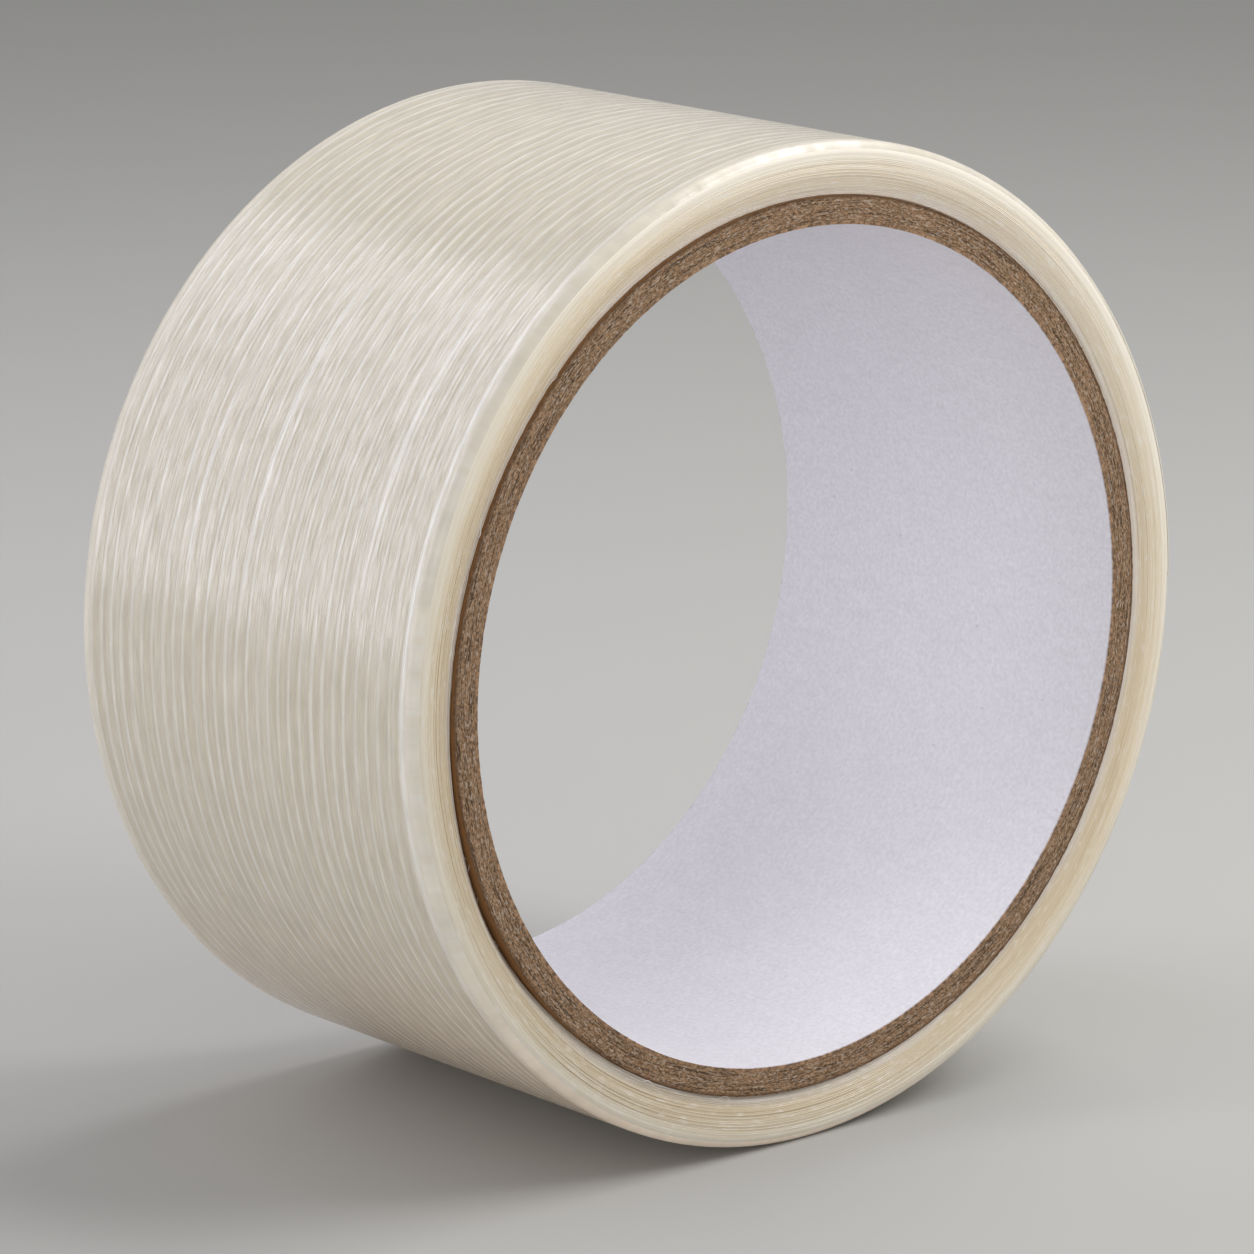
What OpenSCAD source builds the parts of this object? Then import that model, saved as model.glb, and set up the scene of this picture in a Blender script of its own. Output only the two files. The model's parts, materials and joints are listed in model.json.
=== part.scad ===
// Roll of filament tape: a strip of glass-yarn tape wound on a paperboard core.
// Millimetres. The roll's axis lies along Y, the front of the roll faces -Y and +Z is up.
// The origin is on the axis, midway between the two sides of the wound tape.

/* [Core] */
// Inside diameter of the core, the standard three-inch bore
bore_d = 76.2; // [40:0.1:110]
// Thickness of the white paper that lines the bore
liner_t = 0.3; // [0.15:0.05:0.8]
// Thickness of each of the four plies of kraft board
ply_t = 0.575; // [0.3:0.025:1.2]
// Length of the core along its axis
core_length = 45; // [30:0.5:48]
// How far the core's front end lies behind the front crest of the wound tape
core_front_inset = 0.5; // [0:0.1:3]

/* [Tape] */
// Thickness of the adhesive under the yarns
adhesive_t = 0.045; // [0.02:0.005:0.1]
// Height of a yarn above the adhesive
yarn_h = 0.05; // [0.03:0.005:0.12]
// Width of a yarn where it lies on the adhesive
yarn_base_w = 0.62; // [0.35:0.01:1.2]
// Width of a yarn's crown under the film
yarn_crown_w = 0.3; // [0.1:0.01:0.34]
// Number of yarns side by side across the tape
yarn_count = 30; // [6:1:50]
// Thickness of the backing film
film_t = 0.048; // [0.02:0.002:0.1]

/* [Winding] */
// Number of turns of tape on the core
turn_count = 34; // [22:1:120]
// Width of the wound tape from crest to crest
wound_w = 48; // [46:0.5:80]
// Radius of the shoulder where the wound tape turns from its face to its side
shoulder_r = 1.1; // [0.3:0.1:1.6]
// How far round the shoulder the edges of the last turn are pressed, in degrees
edge_droop = 60; // [15:7.5:82.5]
// Width of the flat crest of each side, inside its shoulder
crest_w = 0.7; // [0.6:0.1:1.2]
// How far the innermost turns lie behind the crest of each side
side_dish = 1.3; // [0.1:0.1:4]

/* [Free end] */
// Length of the free end along the tape
free_end_length = 30; // [10:1:60]
// Space between the free end and the turn under it
free_end_lift = 0.05; // [0.03:0.01:0.3]
// Space between the free end's root and the last turn
free_end_root_gap = 0.1; // [0.05:0.01:0.5]

/* [Hidden] */

ply_count = 4;
bore_r = bore_d / 2;
liner_r = bore_r + liner_t;
core_r = liner_r + ply_count * ply_t;
core_front = wound_w / 2 - core_front_inset;

// One turn adds one thickness of tape to the radius
tape_t = adhesive_t + yarn_h + film_t;
// Radius of the inner turns where the last turn starts
start_r = core_r + (turn_count - 1.5) * tape_t;
// The winding is two half turns whose axes lie half a thickness apart
half_step = tape_t / 2;
flat_w = wound_w - 2 * shoulder_r;
// The round middle of the inner turns and the winding rim lap over each other under the flat crest
crest_r = start_r - shoulder_r - crest_w;
crest_lap = 0.75 * crest_w;
rim_depth = shoulder_r + 0.9 * crest_w;
yarn_pitch = flat_w / yarn_count;

// Angle that the free end and the gap at its root cover
free_end_turn = free_end_length / (start_r + tape_t) * 180 / PI;
root_gap_turn = free_end_root_gap / (start_r + tape_t) * 180 / PI;
// Radius of the ribs of the free end, where its film folds when it is peeled
peel_r = start_r + half_step + tape_t + free_end_lift;
peel_turn = free_end_turn - root_gap_turn;
peel_axis = [half_step + peel_r * cos(peel_turn), 0, peel_r * sin(peel_turn)];

// Angle between the points of a shoulder, in degrees
arc_step = 7.5;
dish_steps = 6;
$fn = 180;

white = "#cfccd3";
kraft = "#7d6550";
kraft_dark = "#6a5240";
cream = "#dccfb6";
glass = "#f1ede4";
clear = "#d6cfc4";

echo(tape_length_m = PI * (core_r + start_r) * turn_count / 1000, peel_axis_mm = peel_axis);

// Stands a shape that was made round the Z axis on the roll's own axis, front towards -Y
module on_axis() {
    rotate([90, 0, 0]) children();
}

// A tube of the core, from its inner radius outwards
module core_tube(inner_r, wall) {
    on_axis()
        translate([0, 0, core_front - core_length])
            rotate_extrude()
                translate([inner_r, 0]) square([wall, core_length]);
}

function ply_r(number) = liner_r + (number - 1) * ply_t;

// Points from the flat of the tape round one shoulder, lifted off the wound face at radius r.
// side is 1 for the front shoulder and -1 for the back one.
function shoulder(r, lift, turn, side) = [
    for (a = [0 : arc_step : turn])
        [r - shoulder_r + (shoulder_r + lift) * cos(a),
         side * (flat_w / 2 + (shoulder_r + lift) * sin(a))]
];

// Points down one side of the wound tape, from its crest to the core
function dished_side(side) = [
    for (step = [0 : dish_steps])
        let (part = step / dish_steps)
            [crest_r + (core_r - crest_r) * part,
             side * (wound_w / 2 - side_dish * pow(part, 2))]
];

function reversed(points) = [for (i = [len(points) - 1 : -1 : 0]) points[i]];

// Distance of a yarn's middle from the middle of the tape
function yarn_place(number) = (number - (yarn_count - 1) / 2) * yarn_pitch;

// Points across one rib: up over a yarn's crown and down again
function rib(r, place) = [
    [r, place - yarn_base_w / 2],
    [r + yarn_h, place - yarn_crown_w / 2],
    [r + yarn_h, place + yarn_crown_w / 2],
    [r, place + yarn_base_w / 2]
];

// Points across a layer of the strip from its back edge to its front edge
function across(r, lift, ribbed) = concat(
    reversed(shoulder(r, lift, edge_droop, -1)),
    ribbed ? [for (number = [0 : yarn_count - 1]) each rib(r + lift, yarn_place(number))] : [],
    shoulder(r, lift, edge_droop, 1)
);

// Section of the inner turns from the core to the flat crests of the sides
module dished_section() {
    polygon(concat(
        [[crest_r + crest_lap, -wound_w / 2]],
        dished_side(-1),
        reversed(dished_side(1)),
        [[crest_r + crest_lap, wound_w / 2]]
    ));
}

// Section of the inner turns from the flat crests to the face that the last turn lies on, at radius r
module rim_section(r) {
    polygon(concat(
        [[r - rim_depth, -wound_w / 2]],
        reversed(shoulder(r, 0, 90, -1)),
        shoulder(r, 0, 90, 1),
        [[r - rim_depth, wound_w / 2]]
    ));
}

// Sections of the strip's three layers, laid on the wound face at radius r
module adhesive_section(r) {
    polygon(concat(across(r, 0, false), reversed(across(r, adhesive_t, false))));
}

module yarn_section(r, number) {
    polygon(rib(r + adhesive_t, yarn_place(number)));
}

module film_section(r) {
    polygon(concat(across(r, adhesive_t, true), reversed(across(r, adhesive_t + film_t, true))));
}

// A turn about the Z axis that starts on the far side and runs under it
module turn_under(turn) {
    rotate([0, 0, 180]) rotate_extrude(angle = turn) children();
}

// Lower half turn, about the core's axis
module lower_half() {
    turn_under(180) children();
}

// Upper half turn, or its first part, about an axis half a thickness further out
module upper_half(turn) {
    translate([half_step, 0, 0]) mirror([0, 1, 0]) turn_under(turn) children();
}

// The last stretch of the upper half turn, from the tip of the tape back to the free end's root
module last_stretch() {
    translate([half_step, 0, 0]) rotate_extrude(angle = peel_turn) children();
}

module core_liner() {
    color(white) core_tube(bore_r, liner_t);
}

module core_ply(number) {
    color(number % 2 == 0 ? kraft_dark : kraft) core_tube(ply_r(number), ply_t);
}

module inner_turns() {
    color(cream) on_axis() {
        rotate_extrude() dished_section();
        lower_half() rim_section(start_r);
        upper_half(180) rim_section(start_r + half_step);
    }
}

module outer_turn_adhesive() {
    color(cream) on_axis() {
        lower_half() adhesive_section(start_r);
        upper_half(180 - free_end_turn) adhesive_section(start_r + half_step);
    }
}

module outer_turn_yarns() {
    color(glass) on_axis()
        for (number = [0 : yarn_count - 1]) union() {
            lower_half() yarn_section(start_r, number);
            upper_half(180 - free_end_turn) yarn_section(start_r + half_step, number);
        }
}

module outer_turn_film() {
    color(clear) on_axis() {
        lower_half() film_section(start_r);
        upper_half(180 - free_end_turn) film_section(start_r + half_step);
    }
}

module free_end_adhesive() {
    color(cream) on_axis()
        last_stretch() adhesive_section(start_r + half_step + free_end_lift);
}

module free_end_yarns() {
    color(glass) on_axis()
        for (number = [0 : yarn_count - 1])
            last_stretch() yarn_section(start_r + half_step + free_end_lift, number);
}

module free_end_film() {
    color(clear) on_axis()
        last_stretch() film_section(start_r + half_step + free_end_lift);
}

core_liner();
core_ply(1);  // core_ply_1
core_ply(2);  // core_ply_2
core_ply(3);  // core_ply_3
core_ply(4);  // core_ply_4
inner_turns();
outer_turn_adhesive();
outer_turn_yarns();
outer_turn_film();
free_end_adhesive();
free_end_yarns();
free_end_film();
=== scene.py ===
import json
import math
from functools import partial

import bpy
import numpy as np
from mathutils import Matrix, Vector


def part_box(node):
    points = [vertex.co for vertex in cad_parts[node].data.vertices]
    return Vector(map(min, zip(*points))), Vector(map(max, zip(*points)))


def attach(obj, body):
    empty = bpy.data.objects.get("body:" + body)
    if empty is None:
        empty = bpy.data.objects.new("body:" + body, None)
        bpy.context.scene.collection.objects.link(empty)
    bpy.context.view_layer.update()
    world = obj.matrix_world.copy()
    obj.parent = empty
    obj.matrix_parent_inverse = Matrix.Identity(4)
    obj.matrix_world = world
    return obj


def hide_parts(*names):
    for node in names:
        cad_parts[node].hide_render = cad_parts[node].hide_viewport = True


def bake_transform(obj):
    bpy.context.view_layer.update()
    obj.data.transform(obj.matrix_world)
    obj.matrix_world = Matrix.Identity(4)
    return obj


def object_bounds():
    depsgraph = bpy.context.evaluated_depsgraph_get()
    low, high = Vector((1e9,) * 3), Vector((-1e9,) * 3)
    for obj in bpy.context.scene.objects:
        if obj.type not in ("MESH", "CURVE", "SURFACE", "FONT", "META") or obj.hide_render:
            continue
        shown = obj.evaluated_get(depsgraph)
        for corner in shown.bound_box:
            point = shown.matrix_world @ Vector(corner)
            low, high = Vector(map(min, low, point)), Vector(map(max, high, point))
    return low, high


bl_info = {
    "name": "Filament Tape Roll",
    "version": (1, 0, 0),
    "blender": (4, 2, 0),
    "location": "View3D > Sidebar > Tape Roll",
    "description": "Dresses the packed parts of a roll of filament tape with their fine shapes and finishes",
    "category": "Object",
}

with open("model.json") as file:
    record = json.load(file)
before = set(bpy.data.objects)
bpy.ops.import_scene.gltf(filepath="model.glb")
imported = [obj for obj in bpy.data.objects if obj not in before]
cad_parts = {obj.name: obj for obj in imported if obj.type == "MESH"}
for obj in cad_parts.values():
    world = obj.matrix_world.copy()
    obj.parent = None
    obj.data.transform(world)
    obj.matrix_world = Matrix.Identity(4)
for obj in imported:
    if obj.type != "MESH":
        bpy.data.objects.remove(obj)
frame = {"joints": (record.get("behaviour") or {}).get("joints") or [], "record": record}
CAD_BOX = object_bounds()
MM = 0.001

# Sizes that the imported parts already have, in metres
BORE_R = frame["record"]["mounts"][0]["dims"]["r_mm"] * MM
CORE_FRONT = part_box("core_liner")[0].y
CORE_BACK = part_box("core_liner")[1].y
PLY_NAMES = ["core_ply_1", "core_ply_2", "core_ply_3", "core_ply_4"]
LINER_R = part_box("core_liner")[1].x
PLY_RADII = [LINER_R] + [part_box(name)[1].x for name in PLY_NAMES]
CORE_R = PLY_RADII[-1]
START_R = -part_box("inner_turns")[0].x
TAPE_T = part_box("inner_turns")[1].x - START_R
HALF_STEP = TAPE_T / 2
HALF_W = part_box("inner_turns")[1].y
ADHESIVE_T = -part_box("outer_turn_adhesive")[0].x - START_R
YARN_TOP = -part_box("outer_turn_yarns")[0].x - START_R
YARN_H = YARN_TOP - ADHESIVE_T
FILM_T = -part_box("outer_turn_film")[0].x - START_R - YARN_TOP
FILM_TOP = ADHESIVE_T + FILM_T
FREE_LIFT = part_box("free_end_film")[1].x - START_R - 2 * TAPE_T
PEEL_POINT = Vector(frame["joints"][0]["pos_m"])
PEEL_TURN = math.atan2(PEEL_POINT.z, PEEL_POINT.x - HALF_STEP)
COVERED_FROM = PEEL_TURN - 2 * math.pi + math.radians(1.5)
FLOOR_Z = CAD_BOX[0].z

# Sections along each piece
CORE_SECTIONS = 720
INNER_SECTIONS = 360
OUTER_SECTIONS = 143
FREE_SECTIONS = 41

# Seeds of the random draws
LINER_SEED = 11
PLY_SEED = 21
FRONT_SEED = 31
BACK_SEED = 32
YARN_SEED = 41
DRIFT_SEED = 43
STRAY_SEED = 61

# How far the saw tears the edges of the core's ends, and how deep into the tube
LINER_TORN = 0.06 * MM
PLY_TORN = 0.08 * MM
TORN_DEPTH = 0.25 * MM

# Where the first turns sag, or stand out if negative: mm, then middle and half width in degrees
FRONT_SAGS = ((1.15, 209, 12), (0.25, 190, 12), (-0.2, 108, 15), (-0.2, 243, 11))
BACK_SAGS = ((0.4, 40, 30), (-0.35, 290, 25))
# How far the first turns stand out all round the front, in mm
FRONT_STANDS_OUT = 0.52

# Ridges of the film, whose crests are also painted white as a painted highlight: place across the tape in mm,
# then start and end round the roll in degrees
RIDGES = ((-15.4, 128, 170), (0.4, 132, 172), (-22.3, 100, 236), (8.8, 148, 170))
# Half width of a ridge, in mm
RIDGE_HALF_W = 0.22

# Width at each edge of the tape over which the yarns' drift fades
EDGE_FADE = 5 * MM
# Distance between points across a layer that doesn't show
HIDDEN_STEP = 2 * MM
# Length over which the free end rises from the turn below
LIFT_RUN = 4 * MM
# Stray filaments placed one by one, in degrees, the number placed at random, and their radius
STRAY_PLACED = [197, 202, 209.5]
STRAY_COUNT = 9
STRAY_R = 0.035 * MM

# Faces that meet at a larger angle have a sharp edge
SHARP_ANGLE = math.radians(45)

# The softbox's two ends round the roll's axis, its middle and half width from that axis, all in
# degrees, its distance from the roll's middle in metres, and its points each way
SOFTBOX_ROUND_AXIS = (95, 185)
SOFTBOX_FROM_AXIS = 48
SOFTBOX_HALF_W = 30
SOFTBOX_DISTANCE = 0.5
SOFTBOX_POINTS = 13

# Half the floor's side in metres, and the width of the camera's sensor in mm
FLOOR_HALF = 4.0
SENSOR_W = 36
# How far the camera stands left of the line to the roll's middle, and below it
CAMERA_LEFT = 0.88 * MM
CAMERA_BELOW = 2.12 * MM


def linear(hex_colour):
    """An sRGB hex colour as linear red, green and blue."""
    parts = [int(hex_colour[i : i + 2], 16) / 255 for i in (1, 3, 5)]
    return [c / 12.92 if c <= 0.04045 else ((c + 0.055) / 1.055) ** 2.4 for c in parts]


def length_property(name, description, millimetres):
    """A length that a user can change."""
    return bpy.props.FloatProperty(
        name=name, description=description, default=millimetres * MM, unit="LENGTH"
    )


def colour_property(name, description, hex_colour):
    """A colour that a user can change."""
    return bpy.props.FloatVectorProperty(
        name=name, description=description, default=linear(hex_colour), subtype="COLOR"
    )


class TapeRollSizes(bpy.types.PropertyGroup):
    """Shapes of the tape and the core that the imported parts' boxes don't give."""

    shoulder_r: length_property(
        "Shoulder radius", "Radius where the wound tape turns from its face to its side", 1.1
    )
    edge_droop: bpy.props.FloatProperty(
        name="Edge droop",
        description="How far round the shoulder the edges of the last turn are pressed",
        default=math.radians(60),
        subtype="ANGLE",
    )
    crest_w: length_property(
        "Crest width", "Width of the flat crest of each side, inside its shoulder", 0.7
    )
    side_dish: length_property(
        "Side dish", "How far the innermost turns lie behind the crest of each side", 1.3
    )
    yarn_count: bpy.props.IntProperty(
        name="Yarns",
        description="Number of glass yarns side by side across the tape",
        default=30,
    )
    yarn_base_w: length_property("Yarn width", "Width of a yarn where it lies on the adhesive", 0.62)
    yarn_crown_w: length_property("Yarn crown", "Width of a yarn's crown under the film", 0.3)
    yarn_wander: length_property(
        "Yarn wander", "How far a yarn drifts sideways on its way round the roll", 0.16
    )
    turn_wander: length_property(
        "Turn wander", "How far the edge of one turn lies behind its neighbours", 0.09
    )
    cut_roughness: length_property(
        "Cut roughness", "Depth of the torn fibres on the sawn ends of the core", 0.03
    )


class TapeRollColours(bpy.types.PropertyGroup):
    """Colours of the roll's materials and of the floor."""

    film: colour_property("Film", "Film and adhesive between the yarns", "#D1C7B4")
    yarn: colour_property("Yarn", "Glass yarn seen through the film", "#F4F0EA")
    margin: colour_property("Margin", "Stretched film at the edges of the tape", "#EFE8DA")
    edge: colour_property("Tape edges", "Cut edges of the wound turns", "#E7DBC4")
    edge_line: colour_property("Adhesive lines", "Adhesive between the cut edges of the turns", "#DACBB0")
    edge_frayed: colour_property("Frayed edges", "Frayed edges of the turns next to the core", "#E0D7CC")
    kraft: colour_property("Kraft board", "Sawn ends of the core", "#8F7257")
    kraft_pale: colour_property("Pale fibre", "Pale fibres on the sawn ends", "#C4B3A2")
    kraft_torn: colour_property("Torn kraft", "Torn fibre at the edges of the sawn ends", "#9B7C60")
    kraft_skin: colour_property("Kraft skin", "Plain outer skin of the core", "#855E38")
    # A dark colour painted as the shade of the gap between the core and the tape
    gap_shade_colour: colour_property("Gap shade", "Painted shade of the gap at the edge of the sawn ends, under the tape", "#5C4028")
    liner: colour_property("Liner paper", "White paper that lines the bore", "#E3E0E6")
    floor: colour_property("Floor", "Pale paper under the roll", "#B9B8B5")


class TapeRollStage(bpy.types.PropertyGroup):
    """Camera and lights."""

    azimuth: bpy.props.FloatProperty(
        name="Azimuth",
        description="Direction of the camera round the roll, from the front",
        default=math.radians(-40.73),
        subtype="ANGLE",
    )
    elevation: bpy.props.FloatProperty(
        name="Elevation",
        description="Height of the camera above the horizon",
        default=math.radians(13.63),
        subtype="ANGLE",
    )
    distance: length_property("Distance", "From the roll's middle to the camera", 566)
    lens: bpy.props.FloatProperty(
        name="Lens",
        description="Focal length on a 36 mm sensor",
        default=177.3,
        subtype="DISTANCE_CAMERA",
    )
    daylight: bpy.props.FloatProperty(
        name="Daylight",
        description="Strength of the even light from all round",
        default=0.4,
    )
    overhead: bpy.props.FloatProperty(
        name="Overhead light",
        description="Power of the soft light above the roll",
        default=2.0,
        unit="POWER",
    )
    softbox: bpy.props.FloatProperty(
        name="Softbox",
        description="Strength of the curved softbox behind the roll on its left",
        default=2.6,
    )
    front: bpy.props.FloatProperty(
        name="Front light",
        description="Power of the light before the roll and above it",
        default=0.47,
        unit="POWER",
    )
    left: bpy.props.FloatProperty(
        name="Left light",
        description="Power of the soft light on the roll's left",
        default=0.78,
        unit="POWER",
    )


def node(tree, kind, inputs=None, **settings):
    """Adds a shader node. Each input is a value to set, an output to link, or a node whose first
    output in use is linked. Inputs 6 and 7 of a Mix node are its two colours."""
    made = tree.nodes.new("ShaderNode" + kind)
    for name, value in settings.items():
        setattr(made, name, value)
    for socket, value in (inputs or {}).items():
        if isinstance(value, bpy.types.Node):
            value = next(output for output in value.outputs if output.enabled)
        if isinstance(value, bpy.types.NodeSocket):
            tree.links.new(value, made.inputs[socket])
        else:
            made.inputs[socket].default_value = value
    return made


def new_material(name):
    """An empty node material, and the function that adds a node to it."""
    material = bpy.data.materials.new(name)
    material.use_nodes = True
    material.node_tree.nodes.clear()
    return material, partial(node, material.node_tree)


def rgba(colour):
    """A colour with full opacity."""
    return (*colour, 1.0)


def satin_film():
    """Polyester film pressed over glass yarns. It is clear and satin, so the adhesive shows cream
    between the yarns, each yarn shows white along its crown, and a lamp shows as a band."""
    colours = bpy.context.scene.tape_roll_colours
    material, add = new_material("satin polyester film over glass yarn")
    place = add("Attribute", attribute_name="place").outputs["Vector"]
    parts = add("SeparateXYZ", {"Vector": place}).outputs
    # Bundles of filaments 0.2 mm wide and about 4 mm long, drawn coarser than real ones
    filament_place = add("Mapping", {"Vector": place, "Scale": (1 / 4, 1 / 0.2, 0)})
    filaments = add("TexNoise", {"Vector": filament_place, "Scale": 1.0, "Detail": 3.0, "Roughness": 0.6})
    # Each yarn is a few strands about 0.5 mm wide that run on for some 40 mm
    strand_place = add("Mapping", {"Vector": place, "Scale": (1 / 40, 1 / 0.5, 0)})
    strands = add("TexNoise", {"Vector": strand_place, "Scale": 1.0, "Detail": 2.0})
    relief = add("Math", {0: strands, 1: 0.9, 2: filaments}, operation="MULTIPLY_ADD")
    tone = add("MapRange", {
        "Value": relief, "From Min": 0.7, "From Max": 1.2, "To Min": -0.16, "To Max": 0.26,
    })
    # The third place coordinate is how white a yarn shows, and along the ridges it carries a painted
    # highlight
    crown = add("Math", {0: parts["Z"], 1: tone}, operation="ADD", use_clamp=True)
    mixed = add("Mix", {"Factor": crown, 6: rgba(colours.film), 7: rgba(colours.yarn)}, data_type="RGBA")
    # The film is stretched and white in its last 2 mm at each edge, most on the first 150 mm of a turn
    stretched = add("MapRange", {
        "Value": parts["X"], "From Min": 150, "From Max": 180, "To Min": 0.85, "To Max": 0.5,
    })
    from_middle = add("Math", {0: parts["Y"]}, operation="ABSOLUTE")
    margin = add("MapRange", {
        "Value": from_middle, "From Min": HALF_W / MM - 2.3, "From Max": HALF_W / MM - 0.6,
        "To Max": stretched,
    }, interpolation_type="SMOOTHSTEP")
    # Broken glass shows there as white flecks about 0.8 mm long and 0.3 mm wide
    fleck_place = add("Mapping", {"Vector": place, "Scale": (1 / 0.8, 1 / 0.3, 0)})
    flecks = add("TexNoise", {"Vector": fleck_place, "Scale": 1.0, "Detail": 2.0})
    fleck_tone = add("MapRange", {"Value": flecks, "From Min": 0.5, "From Max": 0.72, "To Max": 0.7})
    flecked = add("Mix", {
        "Factor": fleck_tone, 6: rgba(colours.margin), 7: rgba(colours.yarn),
    }, data_type="RGBA")
    edged = add("Mix", {"Factor": margin, 6: mixed, 7: flecked}, data_type="RGBA")
    # Painted warm shade: the film is tinted warmer for about 40 mm on each side of a place 85 mm along the
    # turn, low on the roll, where it lies in shade and light comes warm through the tape
    from_warm = add("Math", {0: parts["X"], 1: 85}, operation="SUBTRACT")
    away = add("Math", {0: from_warm}, operation="ABSOLUTE")
    painted_warm_shade = add("MapRange", {
        "Value": away, "From Min": 10, "From Max": 42, "To Min": 1.0, "To Max": 0.0,
    }, interpolation_type="SMOOTHSTEP")
    warm_shade_tint = add("Mix", {"Factor": painted_warm_shade, 6: (1, 1, 1, 1), 7: (1.12, 1.02, 0.96, 1)}, data_type="RGBA")
    with_warm_shade = add("VectorMath", {0: edged, 1: warm_shade_tint}, operation="MULTIPLY")
    # Adhesive clouds about 4 mm long and 0.9 mm wide
    cloud_place = add("Mapping", {"Vector": place, "Scale": (1 / 4, 1 / 0.9, 0)})
    clouds = add("TexNoise", {"Vector": cloud_place, "Scale": 1.0, "Detail": 5.0, "Roughness": 0.6})
    cloud_tone = add("MapRange", {
        "Value": clouds, "From Min": 0.33, "From Max": 0.67, "To Min": 0.92, "To Max": 1.07,
    })
    colour = add("VectorMath", {0: with_warm_shade, 1: cloud_tone}, operation="MULTIPLY")
    # Wrinkles about 3 mm long and 0.2 mm wide break up what the film mirrors
    wrinkle_place = add("Mapping", {"Vector": place, "Scale": (1 / 3, 1 / 0.2, 0)})
    wrinkles = add("TexNoise", {"Vector": wrinkle_place, "Scale": 1.0, "Detail": 2.0, "Distortion": 0.8})
    mirror = add("MapRange", {
        "Value": wrinkles, "From Min": 0.38, "From Max": 0.62, "To Min": 0.1, "To Max": 1.1,
    })
    bump = add("Bump", {"Height": relief, "Strength": 1.0, "Distance": 0.03 * MM})
    # Stretching dulls the film at its edges
    dulled = add("MapRange", {"Value": margin, "From Max": 0.75, "To Min": 0.13, "To Max": 0.45})
    surface = add("BsdfPrincipled", {
        "Base Color": colour, "Normal": bump, "Roughness": dulled, "Specular IOR Level": mirror, "IOR": 1.57,
    })
    add("OutputMaterial", {"Surface": surface})
    return material


def glass_yarn():
    """Glass roving: a flat bundle of bright white filaments."""
    colours = bpy.context.scene.tape_roll_colours
    material, add = new_material("glass roving")
    place = add("Attribute", attribute_name="place").outputs["Vector"]
    # Filaments are drawn 0.05 mm apart, coarser than real ones
    along = add("Mapping", {"Vector": place, "Scale": (1 / 10, 1 / 0.05, 0)})
    filaments = add("TexNoise", {"Vector": along, "Scale": 1.0, "Detail": 2.0})
    tone = add("MapRange", {
        "Value": filaments, "From Min": 0.3, "From Max": 0.7, "To Min": 0.85, "To Max": 1.05,
    })
    colour = add("VectorMath", {0: colours.yarn, 1: tone}, operation="MULTIPLY")
    surface = add("BsdfPrincipled", {"Base Color": colour, "Roughness": 0.35, "IOR": 1.55})
    add("OutputMaterial", {"Surface": surface})
    return material


def tacky_adhesive():
    """Pressure-sensitive rubber adhesive: a clear amber coat with a wet gloss and small ripples."""
    colours = bpy.context.scene.tape_roll_colours
    material, add = new_material("rubber adhesive")
    place = add("Attribute", attribute_name="place").outputs["Vector"]
    parts = add("SeparateXYZ", {"Vector": place}).outputs
    # Coating ripples about 1.5 mm apart
    ripple_place = add("Mapping", {"Vector": place, "Scale": (1 / 4, 1 / 1.5, 0)})
    ripples = add("TexNoise", {"Vector": ripple_place, "Scale": 1.0, "Detail": 3.0})
    tone = add("MapRange", {
        "Value": ripples, "From Min": 0.3, "From Max": 0.7, "To Min": 0.92, "To Max": 1.05,
    })
    mixed = add("Mix", {
        "Factor": parts["Z"], 6: rgba(colours.film), 7: rgba(colours.yarn),
    }, data_type="RGBA")
    colour = add("VectorMath", {0: mixed, 1: tone}, operation="MULTIPLY")
    bump = add("Bump", {"Height": ripples, "Strength": 0.4, "Distance": 0.02 * MM})
    surface = add("BsdfPrincipled", {"Base Color": colour, "Normal": bump, "Roughness": 0.2, "IOR": 1.49})
    add("OutputMaterial", {"Surface": surface})
    return material


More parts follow.
